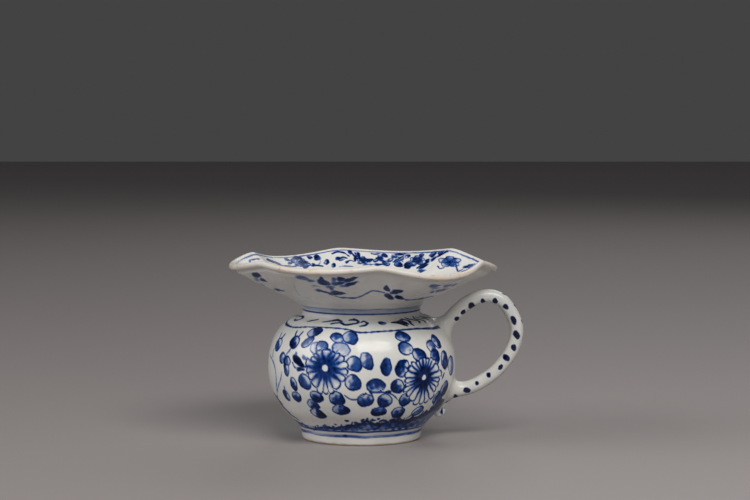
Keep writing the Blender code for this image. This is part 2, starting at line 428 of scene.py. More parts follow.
    def stroke(self, points, widths, tone, view=None, facing=0):
        """A brush stroke through points on the surface, with a width at each of them.

        A view lays it flat on two directions, and facing, 1 or -1, keeps it to the surface that
        looks up or down.
        """
        line = smooth_line(np.column_stack([points, widths]), 3)
        centres, wide = line[:, :3], line[:, 3]
        reach = wide.max() * (1 if view is None else 3) + 1
        above_low = (self.points > centres.min(axis=0) - reach).all(axis=1)
        below_high = (self.points < centres.max(axis=0) + reach).all(axis=1)
        index = np.flatnonzero(above_low & below_high & (facing * self.normals[:, 2] >= 0))
        near = self.points[index]
        if view is not None:
            near, centres = near @ view, centres @ view
        best = np.full(len(index), -9.0)
        for start, end, width in zip(centres, centres[1:], wide):
            along = end - start
            share = np.clip((near - start) @ along / max(along @ along, 1e-9), 0, 1)
            gap = np.linalg.norm(near - start - share[:, None] * along, axis=1)
            best = np.maximum(best, width / 2 - gap)
        best = best + 0.09 * self.flow[index]
        self.deepen(tone * faded(best, self.edge), index)


def tapered(count, widest, start, end):
    """Widths for a stroke that swells towards its middle."""
    share = np.linspace(0, 1, count)
    swell = np.sin(math.pi * share)
    ends = start * (1 - share) + end * share
    return widest * (ends + (1 - (start + end) / 2) * swell).clip(0, 1)


# ---------------------------------------------------------------- glaze


# What the cobalt lets through, from clear, over a violet wash and royal blue, to near black.
COBALT_STOPS = [
    (0.0, (1.0, 1.0, 1.0)),
    (0.10, (0.66, 0.71, 0.85)),
    (0.27, (0.22, 0.31, 0.62)),
    (0.45, (0.032, 0.110, 0.42)),
    (0.62, (0.006, 0.040, 0.225)),
    (0.80, (0.003, 0.010, 0.070)),
    (1.0, (0.002, 0.004, 0.014)),
]
# Colours of the glaze, of the iron in it, and of the clay where it shows.
WHITE = (0.755, 0.745, 0.715)
GREENER = (0.68, 0.69, 0.66)
# The handle's two glaze colours are darker than the body's: painted shade, since the handle stands
# on the shaded side of the pot.
HANDLE_WHITE_PAINTED_SHADE = (0.69, 0.685, 0.65)
HANDLE_GREENER_PAINTED_SHADE = (0.61, 0.62, 0.60)
FOOT_WHITE = (0.73, 0.71, 0.67)
FOOT_GREENER = (0.66, 0.66, 0.63)
GREY_BROWN = (0.60, 0.58, 0.52)
IRON = (0.16, 0.09, 0.05)
BUFF = (0.72, 0.62, 0.52)
PINK_BROWN = (0.42, 0.26, 0.19)
DARK_BISCUIT = (0.50, 0.42, 0.33)
PALE_BISCUIT = (0.62, 0.54, 0.45)


def add_node(tree, kind, **inputs):
    node = tree.nodes.new(kind)
    for key, value in inputs.items():
        node.inputs[key].default_value = value
    return node


def feed(tree, socket, value):
    """Gives a socket another socket, a number or a colour."""
    if isinstance(value, bpy.types.NodeSocket):
        tree.links.new(value, socket)
    else:
        socket.default_value = (*value, 1.0) if isinstance(value, tuple) else value


def mixed(tree, factor, first, second, mode="MIX"):
    """A colour mix of two sockets or fixed colours, and its result."""
    node = tree.nodes.new("ShaderNodeMix")
    node.data_type = "RGBA"
    node.blend_type = mode
    for number, value in ((0, factor), (6, first), (7, second)):
        feed(tree, node.inputs[number], value)
    return node.outputs[2]


def calculated(tree, operation, first, second, clamp=False):
    node = tree.nodes.new("ShaderNodeMath")
    node.operation = operation
    node.use_clamp = clamp
    for socket, value in zip(node.inputs, (first, second)):
        feed(tree, socket, value)
    return node.outputs[0]


def ranged(tree, value, low, high, to_low=0.0, to_high=1.0):
    node = tree.nodes.new("ShaderNodeMapRange")
    node.interpolation_type = "SMOOTHSTEP"
    tree.links.new(value, node.inputs["Value"])
    limits = {"From Min": low, "From Max": high, "To Min": to_low, "To Max": to_high}
    for key, limit in limits.items():
        node.inputs[key].default_value = limit
    return node.outputs["Result"]


def noise(tree, where, scale, detail, roughness=0.5):
    node = add_node(tree, "ShaderNodeTexNoise", Scale=scale, Detail=detail, Roughness=roughness)
    tree.links.new(where, node.inputs["Vector"])
    return node.outputs["Fac"]


def attribute(tree, name):
    node = tree.nodes.new("ShaderNodeAttribute")
    node.attribute_name = name
    return node.outputs["Fac"]


def cobalt_colour(tree, amount):
    ramp = tree.nodes.new("ShaderNodeValToRGB")
    while len(ramp.color_ramp.elements) < len(COBALT_STOPS):
        ramp.color_ramp.elements.new(0.5)
    for element, (position, colour) in zip(ramp.color_ramp.elements, COBALT_STOPS):
        element.position = position
        element.color = (*colour, 1.0)
    tree.links.new(amount, ramp.inputs["Fac"])
    return ramp.outputs["Color"]


def glaze_material(name, white, greener, roughness, sheen):
    """Clear glaze over porcelain, with cobalt under it, iron spots, and bare or fritted edges."""
    material = bpy.data.materials.new(name)
    material.use_nodes = True
    tree = material.node_tree
    shader = tree.nodes["Principled BSDF"]
    where = tree.nodes.new("ShaderNodeTexCoord").outputs["Object"]

    cloud = ranged(tree, noise(tree, where, 38.0, 3.0), 0.38, 0.64)
    glaze = mixed(tree, cloud, white, greener)
    fine = noise(tree, where, 160.0, 4.0)
    glaze = mixed(tree, ranged(tree, fine, 0.5, 0.75, 0.0, 0.25), glaze, GREY_BROWN)

    # Cobalt gathers in small dark heaps, and thins out between them.
    pooled = ranged(tree, noise(tree, where, 420.0, 3.0), 0.3, 0.7, 0.69, 0.88)
    heaped = ranged(tree, noise(tree, where, 1500.0, 2.0), 0.3, 0.75, 0.95, 1.06)
    amount = calculated(tree, "MULTIPLY", attribute(tree, "cobalt"), pooled)
    amount = calculated(tree, "MULTIPLY", amount, heaped, clamp=True)
    painted = mixed(tree, 1.0, glaze, cobalt_colour(tree, amount), "MULTIPLY")

    # Iron in the clay comes through as a few brown spots.
    spots = add_node(tree, "ShaderNodeTexVoronoi", Scale=75.0)
    tree.links.new(where, spots.inputs["Vector"])
    near_spot = ranged(tree, spots.outputs["Distance"], 0.012, 0.026, 1.0, 0.0)
    chosen = tree.nodes.new("ShaderNodeSeparateColor")
    tree.links.new(spots.outputs["Color"], chosen.inputs["Color"])
    rare = ranged(tree, chosen.outputs["Red"], 0.8, 0.82, 0.0, 0.6)
    spotted = calculated(tree, "MULTIPLY", near_spot, rare)
    painted = mixed(tree, spotted, painted, IRON)

    # The glaze is thin on the lip, where the clay shows through buff and pink-brown.
    frit = attribute(tree, "fritted")
    patchy = ranged(tree, noise(tree, where, 120.0, 3.0), 0.36, 0.62, 0.35, 1.0)
    creamy = calculated(tree, "MULTIPLY", frit, patchy)
    painted = mixed(tree, creamy, painted, BUFF)
    burnt = ranged(tree, noise(tree, where, 230.0, 4.0, 0.65), 0.56, 0.72, 0.0, 0.8)
    burnt = calculated(tree, "MULTIPLY", burnt, frit)
    painted = mixed(tree, burnt, painted, PINK_BROWN)

    bare = attribute(tree, "bare")
    painted = mixed(tree, bare, painted, mixed(tree, fine, DARK_BISCUIT, PALE_BISCUIT))
    tree.links.new(painted, shader.inputs["Base Color"])

    gloss = ranged(tree, noise(tree, where, 90.0, 2.0), 0.3, 0.7, roughness, roughness + 0.06)
    gloss = calculated(tree, "ADD", gloss, calculated(tree, "MULTIPLY", bare, 0.5), clamp=True)
    tree.links.new(gloss, shader.inputs["Roughness"])
    shader.inputs["IOR"].default_value = 1.5
    shader.inputs["Specular IOR Level"].default_value = sheen

    # The glaze lies in soft waves over the turned clay, with a very fine orange peel.
    waves = noise(tree, where, 95.0, 2.0)
    peel = noise(tree, where, 900.0, 2.0)
    relief = calculated(tree, "ADD", waves, calculated(tree, "MULTIPLY", peel, 0.05))
    bump = add_node(tree, "ShaderNodeBump", Strength=0.25, Distance=0.0006)
    tree.links.new(relief, bump.inputs["Height"])
    tree.links.new(bump.outputs["Normal"], shader.inputs["Normal"])
    return material


# ---------------------------------------------------------------- the body and its painting

# Leaves round the two flowers: turn, height, half length, half width, tilt, the side that is
# light, and the tones of the wash at its dark and its light side.
LEAVES = [
    (-34.5, 53.2, 3.9, 2.6, 22, 200, 0.8, 0.22), (-37, 48.8, 3.7, 2.1, 42, -50, 0.62, 0.2),
    (-30, 46.6, 2.9, 2.9, 0, 200, 0.16, 0.05), (-25.5, 47.2, 2.9, 3.1, 60, 250, 0.55, 0.08),
    (-16, 51.3, 3.5, 2.5, -18, 268, 0.62, 0.12), (-7, 51.5, 3.8, 3.4, -40, 165, 0.62, 0.14),
    (-12.6, 46.4, 4.6, 3.5, -16, 250, 0.2, 0.04), (-45.2, 29, 3.4, 2.2, -72, 55, 0.82, 0.12),
    (-36, 30.8, 3.9, 3.3, -48, 48, 0.66, 0.1), (-44.8, 23.1, 3, 2.5, 0, 95, 0.86, 0.2),
    (-28.6, 24.1, 3.6, 2.8, -22, 95, 0.88, 0.16), (-32.6, 20, 3.3, 2.6, -24, 130, 0.84, 0.16),
    (-31, 15.8, 4, 2.7, -22, 165, 0.92, 0.14), (-15.2, 23.7, 3.8, 3.5, -30, 130, 0.8, 0.14),
    (-13.2, 18.4, 4.3, 2.9, -6, 150, 0.9, 0.22), (29.2, 51.5, 3.9, 2.8, -12, 240, 0.82, 0.2),
    (29.2, 46.3, 4, 3.2, -18, -60, 0.46, 0.03), (38.5, 42.9, 4.2, 3.1, -22, 225, 0.78, 0.12),
    (3.5, 41.2, 4.2, 2.8, -66, 165, 0.66, 0.12), (-4, 39.9, 3.8, 3.4, -30, 160, 0.62, 0.06),
    (15.2, 38.6, 4.1, 2.6, 84, 20, 0.8, 0.6), (25.3, 37.7, 4.2, 3.3, 58, -25, 0.86, 0.06),
    (-4.5, 31.4, 4, 3.6, -35, 165, 0.72, 0.1), (9, 30, 4.6, 3.1, -2, -90, 0.76, 0.14),
    (22.4, 29.3, 3.5, 3.2, -60, 40, 0.8, 0.08), (2.8, 23.2, 3.7, 3.4, 0, 95, 0.72, 0.1),
    (14.9, 22.7, 3.6, 3.5, 0, 60, 0.8, 0.12), (11.8, 17.5, 3.7, 2.6, 0, 90, 0.94, 0.4),
    (28.8, 22.6, 3.1, 3.3, 0, 95, 0.74, 0.14), (25.8, 16.5, 3.3, 3.3, 40, 100, 0.86, 0.16),
    (50.3, 46.2, 3, 3.1, -80, 200, 0.48, 0.05), (57.3, 47.9, 3.7, 2.8, -66, 200, 0.8, 0.1),
    (51.8, 41.3, 3.8, 3.3, -80, 200, 0.86, 0.14), (61.8, 39.2, 4.3, 3.4, 88, 150, 0.84, 0.12),
    (71.6, 35.6, 4.4, 4.4, -82, 180, 0.42, 0.05), (64.2, 25.4, 4, 3.9, 60, 150, 0.9, 0.22),
    (42.2, 16.4, 3.5, 2.6, 30, 150, 0.45, 0.06), (56.8, 22.2, 3.3, 2.4, 66, 160, 0.88, 0.15),
    (61, 19.4, 3.7, 2.9, 60, 160, 0.92, 0.35), (-56.8, 40.5, 2.5, 2.5, -60, 10, 0.45, 0.05),
    (-51, 39.2, 2.6, 2.1, -75, 10, 0.55, 0.06), (-51.3, 35.2, 2.8, 2.1, -85, 30, 0.5, 0.06),
    (-55.4, 22.9, 2.9, 2.4, -70, 10, 0.92, 0.12), (-66.2, 45.9, 3.3, 3.3, -80, 50, 0.6, 0.04),
]
# Narrow buds and dark pointed leaves: turn, height, half length, half width, tilt, tone.
BUDS = [
    (-41.2, 39.9, 4.3, 1.6, -32, 0.98), (-36.6, 41.6, 1.9, 0.85, -34, 0.4),
    (-39, 36.3, 2.3, 0.85, 2, 0.85), (-43.9, 43.4, 0.7, 0.6, 0, 0.5),
    (-53.8, 38.6, 2.2, 0.8, -66, 0.95), (-53.4, 35.8, 2, 0.7, -80, 0.9),
    (-74.5, 19.4, 4.6, 1.35, -30, 0.95), (-70.5, 15.6, 4.4, 1.3, -34, 0.92),
    (-65.5, 12, 3.6, 1.1, -38, 0.88),
]
# Stems: places as turn and height, greatest width, and tone.
STEMS = [
    ([(-9.9, 25.4), (-6.9, 23.8), (-3.2, 23.5), (0.6, 25.1), (3, 26.7)], 0.6, 0.66),
    ([(5.5, 26.9), (9.5, 26.9), (14, 26.8), (19.2, 25.7), (23.7, 22.9)], 0.65, 0.7),
    ([(23.7, 22.9), (27.3, 20.3), (28.6, 17.6)], 0.6, 0.62),
    ([(4.2, 28.4), (6, 26.8), (7.4, 24.6)], 0.7, 0.75),
    ([(15.5, 27), (18, 27)], 1.3, 0.85),
    ([(-49.6, 45.5), (-51.2, 43.6), (-53.4, 41.9), (-54.3, 40.2)], 0.6, 0.5),
    ([(-71, 43.6), (-71.4, 41.6), (-70.4, 39.6)], 0.55, 0.45),
    ([(-79.3, 40.4), (-71, 38.4), (-66.4, 36.2),
      (-64.4, 33), (-64.8, 28.6), (-68.6, 23.6)], 0.7, 0.52),
    ([(-56.6, 34.2), (-57.4, 31.4), (-60.4, 28.6), (-66, 24.8), (-71.6, 21.4)], 0.6, 0.45),
    ([(-71.6, 21.4), (-74.5, 19.4)], 0.9, 0.7),
    ([(-55.2, 27.2), (-55.4, 25.8)], 0.8, 0.5),
    ([(-46.4, 39.2), (-43.4, 36.9), (-39.6, 37.4), (-36.4, 37.2)], 0.5, 0.62),
    ([(-36, 37.4), (-34, 38.4)], 0.7, 0.8),
    ([(26, 39), (29.5, 36.6), (31.6, 34.6)], 0.6, 0.8),
    ([(29, 33.4), (31.5, 35)], 1, 0.9),
    ([(26.8, 28), (29.6, 30.8)], 0.8, 0.8),
    ([(58, 30.4), (60.6, 33.2)], 0.7, 0.8),
    ([(35, 13.2), (39.5, 15.6), (43.5, 17.4)], 0.6, 0.8),
    ([(-86, 46), (-84, 41), (-84, 36), (-86.5, 31)], 0.9, 0.8),
]
# The line under the shoulder, and the ground line near the foot: turn, height, width.
SHOULDER_LINE = [
    (-88, 56.2, 0.9), (-80, 54.7, 1.1), (-61, 54, 0.7), (-41, 55, 0.55), (-24, 55.2, 0.55),
    (-10.6, 54.8, 0.6), (-1, 53.6, 0.8), (13.6, 53.9, 0.7), (24.6, 54, 0.7), (34, 54.2, 0.8),
    (48, 54, 0.9), (62, 53.4, 1.3), (78, 53.3, 1.5), (88, 54.6, 0.8),
]
GROUND = [
    (-92, 8, 0.6), (-75, 9.6, 0.9), (-60, 8.4, 0.9), (-50, 6.9, 0.8), (-38, 8.2, 0.8),
    (-31, 8.7, 0.9), (-20, 8.8, 0.8), (-13, 9.7, 1), (-7, 10.4, 1.1), (-1, 11, 1.2), (4, 12.6, 1.3),
    (8, 11.8, 1.4), (12, 10.8, 1.4), (17, 11.4, 1.4), (21, 10.7, 1.4), (26, 11.5, 1.7),
    (35, 11.8, 2.2), (44, 12.6, 2.6), (53, 14, 3), (62, 16.6, 3.2), (70, 17.8, 3), (80, 14, 2),
    (88, 9, 1),
]
# Tufts on the ground line: turn, height of the tip, width.
TUFTS = [
    (-40, 9.3, 0.6), (-33, 9.6, 0.6), (-24, 9.4, 0.7), (-17, 10.9, 0.7), (-8, 12.2, 0.8),
    (3, 14.2, 1), (6.5, 13.8, 1), (13, 12.9, 0.8), (32, 13.4, 0.9), (38, 14.2, 1), (47, 15.8, 1),
    (56, 18.2, 1.4), (64, 20.5, 1.4),
]
# Round dots that stand free above it: turn, height, half size.
DOTS = [
    (-10.5, 12.9, 0.95), (-20.5, 10.6, 0.6), (12.6, 13.9, 0.7), (17.5, 12.8, 0.7), (-30, 9.9, 0.5),
]
WASH_BELOW = 7.4  # height of the lower edge of the wash under the ground line
NECK_RING = 60.8  # heights of the lines round the body
FOOT_RING = 6.9


def body_place(body, turn, height):
    return body.place(turn, body.row_at_height(height))


def body_path(body, places):
    """Points on the body along a smooth line through places of turn and height."""
    return np.array([body_place(body, *spot)[0] for spot in smooth_line(places, 8)])


def paint_line(body, paint, about, route, tone):
    """A stroke on the body through places of turn, height and width."""
    line = smooth_line([(about + turn, height, width) for turn, height, width in route], 8)
    points = np.array([body_place(body, turn, height)[0] for turn, height, _ in line])
    paint.stroke(points, line[:, 2], tone)


def ground_at(turn, beyond=None):
    """The height of the ground line at turns from its middle, and past its ends."""
    turns, heights, _ = np.array(GROUND, float).T
    return np.interp(turn, turns, heights, left=beyond, right=beyond)


def paint_spray(body, paint, about):
    """The two flowers with their leaves and stems, centred on a turn."""
    for turn, height, length, width, tilt, light, dark, pale in LEAVES:
        rim = 1.2 if dark > 0.4 else 0.66
        place = body_place(body, about + turn, height)
        paint.leaf(place, length, width, tilt, light, 1.08 * dark, pale, 0.7, rim)
    for turn, height, length, width, tilt, tone in BUDS:
        paint.blot(body_place(body, about + turn, height), length, width, tilt, 1.15 * tone)
    bud = body_place(body, about - 48.6, 48.0)
    paint.leaf(bud, 3.3, 3.2, -78, 25, 0.98, 0.12, 1.0, 1.12)
    for middle, bottom in ((-48.6, 50.4), (-67.0, 48.4)):
        for shift in (-1.7, 1.9):
            tips = [(about + middle + shift, bottom), (about + middle + 1.8 * shift, bottom + 2.3)]
            paint.stroke(body_path(body, tips), np.full(9, 0.8), 0.85)
    for places, widest, tone in STEMS:
        moved = [(about + turn, height) for turn, height in places]
        points = body_path(body, moved)
        paint.stroke(points, tapered(len(points), widest, 0.7, 0.6), 1.25 * tone)
    left = body_place(body, about - 21.8, 37.8)
    paint.flower(left, 18, (10.6, 9.2, 10.0, 11.6), 8.2, 1.5, 0.1, 0.84, 5)
    right = body_place(body, about + 40.6, 32.6)
    paint.flower(right, 23, (12.0, 9.4, 11.4, 13.4), 7.8, 1.4, 0.3, 0.98, 8)


def paint_ground(body, paint, about):
    """The ground line near the foot, its dabs, dots and tufts, and the wash under it."""
    paint_line(body, paint, about, GROUND, 0.98)
    rng = np.random.default_rng(7)
    for turn in np.arange(-78.0, 84.0, 1.25):
        dense = 0.6 + 0.9 * smoothstep(turn, -30.0, 50.0)
        height = ground_at(turn) + rng.uniform(-1.0, 1.5) * dense
        place = body_place(body, about + turn + rng.uniform(-0.8, 0.8), height)
        size = rng.uniform(0.45, 0.95) * dense
        tone = rng.uniform(0.85, 1.1)
        paint.blot(place, 1.4 * size, 0.8 * size, rng.uniform(-50.0, 50.0), tone)
    for turn, height, size in DOTS:
        paint.blot(body_place(body, about + turn, height), size, 0.8 * size, 10, 1.1)

    east, south = paint.points[:, 0], -paint.points[:, 1]
    turns = (np.degrees(np.arctan2(east, south)) - about + 180) % 360 - 180
    heights = paint.points[:, 2] + 0.25 * paint.flow
    top = ground_at(turns, 0.0)
    under = faded(top - heights, 0.5) * np.clip((heights - WASH_BELOW) / 0.5, 0, 1)
    tone = 0.2 + 0.24 * smoothstep(turns, -42.0, -20.0) + 0.16 * smoothstep(turns, 15.0, 45.0)
    tone = tone + 0.3 * smoothstep(heights - top, -2.4, 0.0)
    paint.deepen(tone * under * (1 + 0.3 * paint.flow))

    for turn in np.arange(-40.0, 80.0, 2.5):
        height = WASH_BELOW + rng.uniform(0.25, 0.9) * (ground_at(turn) - WASH_BELOW)
        place = body_place(body, about + turn, height)
        length = rng.uniform(1.2, 2.4)
        tilt = rng.uniform(-4.0, 24.0)
        paint.blot(place, length, 0.6, tilt, rng.uniform(0.65, 0.95))
    for turn, top, width in TUFTS:
        blade = body_path(body, [(about + turn, ground_at(turn)), (about + turn + 1.5, top)])
        paint.stroke(blade, np.linspace(width, 0.6 * width, len(blade)), 0.98)


# Scrolls on the shoulder, as strokes through places of turn and radius, with their widths.
SCROLLS = [
    ([(-88, 30.6), (-78, 29.3), (-70, 29), (-64.5, 30.3),
      (-64.8, 32.2), (-69, 33), (-73, 32.2)], 0.85),
    ([(-50, 32.2), (-47, 30.8), (-43, 29.2)], 1.25),
    ([(-34, 31.4), (-29, 30), (-23, 28.9), (-18.5, 29.6), (-17, 31.4)], 1.1),
    ([(-25, 32.6), (-21, 31.6), (-17, 31.4), (-13, 32.9), (-8, 32.3),
      (-3, 31), (-3.4, 28.9), (-7, 28.2), (-11, 28.6)], 0.95),
    ([(0, 30.6), (2.2, 29.4), (5, 31), (3.6, 33), (-1, 33.8)], 0.9),
    ([(27, 31.6), (31, 31.6), (35, 33), (37.5, 34.2)], 1.7),
    ([(33, 31), (37, 31), (39.5, 33.4)], 1.9),
    ([(37, 29.6), (42, 29.4), (45, 31), (43, 33.2), (44, 34.4)], 1.1),
    ([(46, 28.4), (50, 30), (55, 32), (53, 33.4)], 1),
    ([(58, 28.4), (57, 30.2), (62, 32.4), (61, 34)], 0.9),
    ([(62, 28.6), (66, 30.4), (72, 31.2), (70, 33)], 0.8),
    ([(70, 28.8), (76, 30.6), (83, 32)], 0.8),
]


def paint_shoulder(body, paint, about):
    last = int(body.row_at_height(54.0))

    def spot(turn, radius):
        return body.place(turn, body.row_at_radius(turn, radius, 0, last))

    for places, widest in SCROLLS:
        route = smooth_line([(about + turn, radius) for turn, radius in places], 8)
        points = np.array([spot(*place)[0] for place in route])
        paint.stroke(points, tapered(len(points), 1.3 * widest, 0.6, 0.55), 1.2)
    paint.leaf(spot(about + 17.6, 31.4), 2.0, 1.7, 0, -60, 0.92, 0.45, 0.7, 0.97)


def paint_body(body):
    paint = Painting(body, 11, 0.42)
    for about in (0, 180):
        paint_line(body, paint, about, SHOULDER_LINE, 1.05)
        paint_ground(body, paint, about)
        paint_spray(body, paint, about)
        paint_shoulder(body, paint, about)
    heights = paint.points[:, 2] + 0.12 * ripple(paint.points, 14.0, 31)
    paint.ring(heights, NECK_RING, 0.2, 0.9)
    paint.deepen(0.15 * np.clip((heights - NECK_RING + 0.2) / 0.3, 0, 1))
    paint.ring(heights, FOOT_RING, 0.3, 1.0 + 0.15 * ripple(paint.points, 30.0, 32))
    paint.ring(heights, FOOT_RING + 1.0, 0.9, 0.14)
    return paint.cobalt


def make_body():
    outside = smooth_line(BODY_OUTSIDE, 30)
    neck = np.array([(NECK_RADIUS, NECK_JOIN), (NECK_RADIUS, NECK_JOIN - 0.3)])
    profile = resampled(np.vstack([neck, outside]), 0.5)
    body = turned(profile, turns_with(0.5, 0.75, 100))
    piece = mesh_object("pot_body", body, {"cobalt": paint_body(body)}, ())
    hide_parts("body", "neck_slip_seam", "foot_slip_seam")
    return piece, outside


def make_inside(outside):
    """The inner floor and wall, up to the neck."""
    inside = outside - WALL * leftward(outside)
    inside = inside[inside[:, 1] > INNER_FLOOR + 1.5]
    inside[0] = (NECK_RADIUS - WALL, 61.2)
    neck = np.array([(NECK_RADIUS - WALL, NECK_JOIN)])
    floor = np.array([(inside[-1][0] - 4.0, INNER_FLOOR + 0.3), (0.5, INNER_FLOOR)])
    profile = resampled(np.vstack([neck, inside, floor]), 1.4)[::-1]
    surface = turned(profile, np.arange(0.0, 360.0, 2.5))
    return mesh_object("pot_body_inside", surface, {}, ("first",))


# ---------------------------------------------------------------- the foot


FOOT_BAND = 4.6  # heights of the pale band and of the thin line in it
FOOT_LINE = 4.1
FOOT_RUN = (-14.5, 28.1, 4.8)  # turn, radius and height of the spot where the cobalt ran


def make_foot():
    profile = resampled(smooth_line(FOOT_PROFILE, 10), 0.4)
    foot = turned(profile, np.arange(0.0, 360.0, 1.0))
    points = foot.points.reshape(-1, 3)
    outer = np.hypot(points[:, 0], points[:, 1]) > 26.0
    heights = points[:, 2] + 0.15 * ripple(points, 16.0, 41)
    band = faded(0.6 - np.abs(heights - FOOT_BAND), 0.6) * outer
    line = faded(0.12 - np.abs(heights - FOOT_LINE), 0.4) * outer
    cobalt = np.maximum((0.48 + 0.12 * ripple(points, 24.0, 42)) * band, 0.66 * line)
    turn, radius, height = FOOT_RUN
    middle = [radius * math.sin(math.radians(turn)), -radius * math.cos(math.radians(turn)), height]
    away = np.linalg.norm((points - middle) * [0.6, 1, 1.2], axis=1)
    cobalt = np.maximum(cobalt, 1.1 * np.clip(1.3 - away, 0, 1))
    edge = np.clip(1.1 - (heights + 0.25 * ripple(points, 5.0, 43)), 0, 1)
    bare = smoothstep(edge, 0.05, 0.5) * (heights < 1.3)
    attributes = {"cobalt": cobalt, "bare": bare}
    piece = mesh_object("pot_foot", foot, attributes, ("last",))
    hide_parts("foot_ring")
    return piece


# ---------------------------------------------------------------- the mouth and its painting


def lobe_bulge(share):
    """0 at a cusp and 1 at the middle of a lobe, for a share of the way from cusp to cusp."""
    soft = CUSP_SOFTNESS
    wave = np.sin(math.pi * share)
    return (np.hypot(wave, soft) - soft) / (math.hypot(1.0, soft) - soft)


def rim_at(turn):
    """Radius and height of the lip's centre line at a turn."""
    angle = (turn - 90.0) % 360
    after = next((i for i, cusp in enumerate(CUSPS) if cusp[0] > angle), 0)
    start, start_radius, start_height = CUSPS[after - 1]
    end, end_radius, end_height = CUSPS[after]
    lobe_radius, lobe_height = LOBES[after - 1]
    share = (angle - start) % 360 / ((end - start) % 360)
    bulge = lobe_bulge(share)
    radius = start_radius + (end_radius - start_radius) * share
    height = start_height + (end_height - start_height) * share
    radius += (lobe_radius - (start_radius + end_radius) / 2) * bulge
    height += (lobe_height - (start_height + end_height) / 2) * bulge
    return radius, height


def mouth_surface():
    """The funnel, from the neck up its inside, over the lip and down its underside.

    Also the rows where the lip starts and ends.
    """
    underside = smooth_line(MOUTH_UNDERSIDE, 20)
    inside = underside - LIP_THICKNESS * leftward(underside)
    underside = resampled(underside, 0.62)
    inside[-1] = (NECK_RADIUS - WALL, NECK_JOIN)
    painted = inside[:, 0] > PAINTED_FROM
    inside = np.vstack([resampled(inside[painted], PAINTED_STEP), resampled(inside[~painted], 1.2)])
    lip = arc((MOUTH_RADIUS, MOUTH_HEIGHT), LIP_THICKNESS / 2, 115, -95, 18)
    inside = np.vstack([resampled(np.array([lip[0], inside[0]]), PAINTED_STEP), inside[1:]])
    crease = smooth_line([lip[-1], LIP_CREASE, underside[0]], 12)
    underside = np.vstack([resampled(crease, 0.4), underside[1:]])
    profile = np.vstack([inside[:0:-1], lip, underside[1:]])
    quarter = np.concatenate([np.arange(0.0, 58.0, 0.4), np.arange(58.0, 90.0, 0.8)])
    half = np.concatenate([quarter, 180.0 - quarter[:0:-1], [90.0]])
    turns = np.unique(np.round(np.concatenate([half, half + 180.0]), 3)) % 360
    points = turned(profile, turns).points
    rim = np.array([rim_at(turn) for turn in turns])
    share = np.clip((profile[:, 0] - LOBES_FROM) / (MOUTH_RADIUS - LOBES_FROM), 0, 1) ** 1.6
    radius = np.maximum(profile[:, 0], LOBES_FROM)
    scale = 1 + share[:, None] * (rim[:, 0] - MOUTH_RADIUS)[None, :] / radius[:, None]
    points[:, :, :2] *= scale[:, :, None]
    points[:, :, 2] += share[:, None] * (rim[:, 1] - MOUTH_HEIGHT)[None, :]
    lip_start = len(inside) - 1
    return Surface(points, turns), lip_start, lip_start + len(lip)


# Touches on the underside: turn, radius, half length, half width, tilt, tone. Their sizes and
# tilts are the ones they show from the front, a little from above.
UNDER_BLOTS = [
    (-60.5, 54.8, 2, 1, -12, 0.97), (-61, 51.3, 1.5, 0.6, -18, 0.98),
    (-66.9, 52.2, 1.4, 0.9, -30, 0.3), (-74.6, 47.3, 1.4, 0.4, -30, 0.25),
    (-61.1, 43.2, 2.1, 0.4, -6, 0.95), (-25.9, 58.3, 3.6, 0.8, -14, 0.42),
    (-23.1, 56.9, 1.8, 0.6, -10, 0.5), (-18.8, 60.1, 1.1, 0.4, -10, 0.85),
    (-17.3, 58.4, 1.1, 0.7, -30, 0.8), (-17.2, 55.2, 3.1, 1.2, -14, 0.92),
    (-12, 57.6, 1.1, 0.9, 0, 0.5), (-8.8, 57.6, 1.9, 0.8, -6, 0.95),
    (-11.9, 54.1, 1.8, 0.9, 0, 0.62), (-9.4, 54.4, 1.8, 0.7, 10, 0.75),
    (-4.5, 56.3, 3.1, 0.7, 18, 0.97), (-4.6, 53, 3.1, 0.6, 14, 0.97),
    (-8.5, 51.3, 1.8, 0.4, 0, 0.6), (-15.5, 51.2, 2, 0.5, 0, 0.55), (-23, 51.8, 1.6, 0.4, 0, 0.25),
    (-21.8, 46.8, 2.9, 0.5, -14, 0.95), (-13.5, 45.3, 3.6, 0.9, -3, 0.99),
    (-15.2, 49.5, 0.9, 0.6, 0, 0.75), (-18.3, 44, 1.3, 0.4, -30, 0.7),
    (14, 48.1, 1.6, 1, -38, 0.98), (20.6, 46.8, 2.4, 1, 4, 0.98), (17.9, 41.3, 2.3, 0.9, -26, 0.98),
    (25.4, 40.4, 2.1, 0.8, -18, 0.98), (18.4, 45, 1.1, 0.7, 0, 0.8), (37.1, 55.6, 2.7, 0.7, 6, 0.6),
    (48.3, 52.6, 2, 0.7, 12, 0.5), (62.9, 48.1, 1.8, 0.4, 16, 0.8),
    (44.5, 46.3, 1.1, 0.5, 20, 0.55), (54.4, 45.7, 3, 0.6, 10, 0.85),
    (40.6, 52.1, 1.8, 0.5, 0, 0.35),
]
UNDER_STROKES = [
    ([(-16.2, 42.1), (-13, 40.5), (-8.5, 40.1), (-3.9, 40.1), (0.6, 41.9),
      (4.1, 44.5), (6.8, 45.7), (10.3, 45.3), (14.1, 44.4)], 0.45, 0.7),
    ([(-8, 40.2), (-3.3, 40)], 0.6, 0.75),
    ([(28.9, 38.5), (36.2, 36.9), (45.3, 36.6), (52, 37.6), (60.7, 38)], 0.45, 0.55),
    ([(-37.3, 50.1), (-42.8, 43), (-47, 37.1)], 0.4, 0.1),
]
